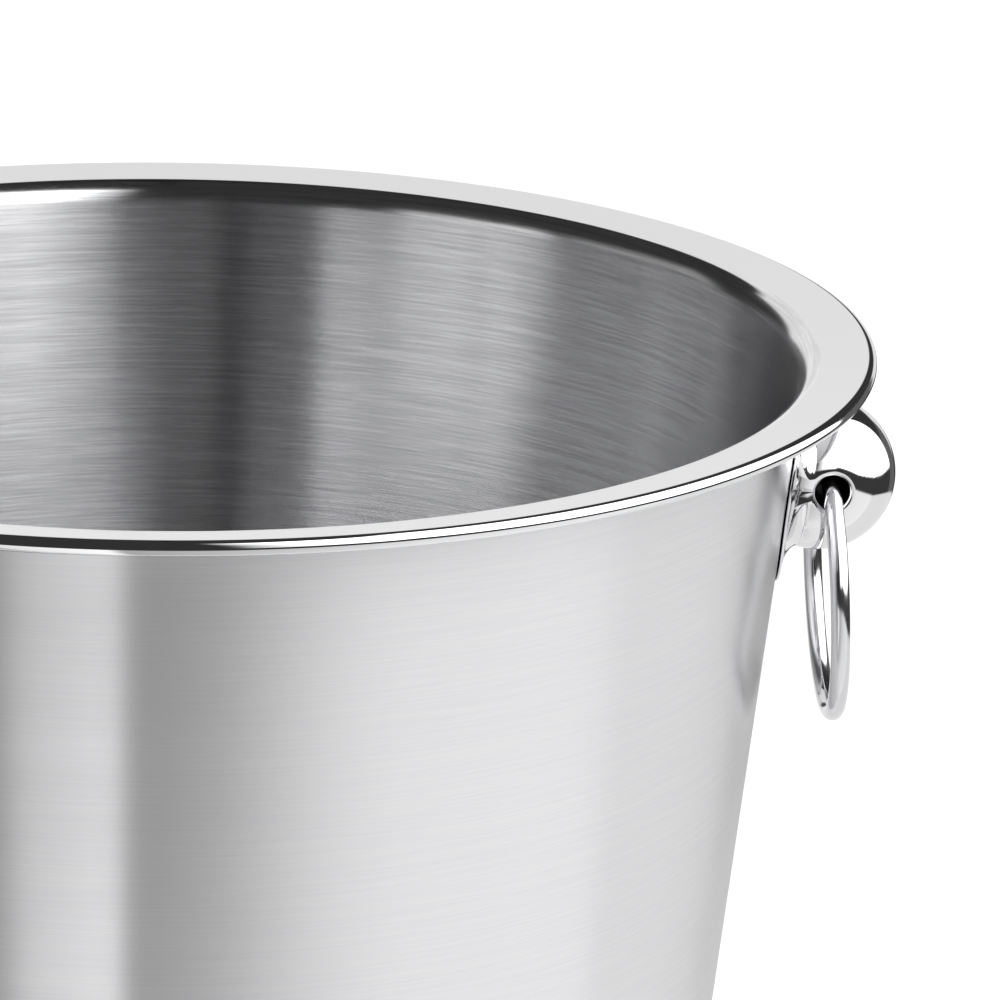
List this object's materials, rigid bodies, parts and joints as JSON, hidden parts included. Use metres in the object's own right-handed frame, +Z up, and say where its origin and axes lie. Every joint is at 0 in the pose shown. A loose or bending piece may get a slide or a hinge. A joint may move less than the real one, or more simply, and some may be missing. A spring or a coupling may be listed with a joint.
{
  "type": "champagne bucket",
  "caption": "Tapered stainless steel champagne bucket with a rolled rim and ball knobs on its sides, each carrying a loose swinging wire ring.",
  "frame": {"origin": "centre of the base, on the surface that the bucket stands on", "axes": "+Z up along the bucket's axis, +X out through the right knob, +Y towards the back"},
  "size_m": [0.229, 0.22, 0.214],
  "materials": {
    "brushed_steel": "satin steel, brushed around the bucket",
    "polished_steel": "mirror polished steel",
    "plain_steel": "plain turned and pressed steel",
    "silicone": "translucent soft silicone"
  },
  "bodies": {
    "bucket": {"bucket_shell": "brushed_steel", "knob_right": "polished_steel", "knob_left": "polished_steel", "screw_right": "plain_steel", "screw_left": "plain_steel", "washer_right": "plain_steel", "washer_left": "plain_steel", "seal_right": "silicone", "seal_left": "silicone"},
    "ring_right": {"ring_right": "polished_steel"},
    "ring_left": {"ring_left": "polished_steel"}
  },
  "joints": [
    {"name": "ring_right_swing", "type": "hinge", "parent": "bucket", "child": "ring_right", "pos_m": [0.10341, 0, 0.1916], "axis": [0, -1, 0], "range_deg": [-15, 158]},
    {"name": "ring_left_swing", "type": "hinge", "parent": "bucket", "child": "ring_left", "pos_m": [-0.10341, 0, 0.1916], "axis": [0, 1, 0], "range_deg": [-15, 158]}
  ]
}
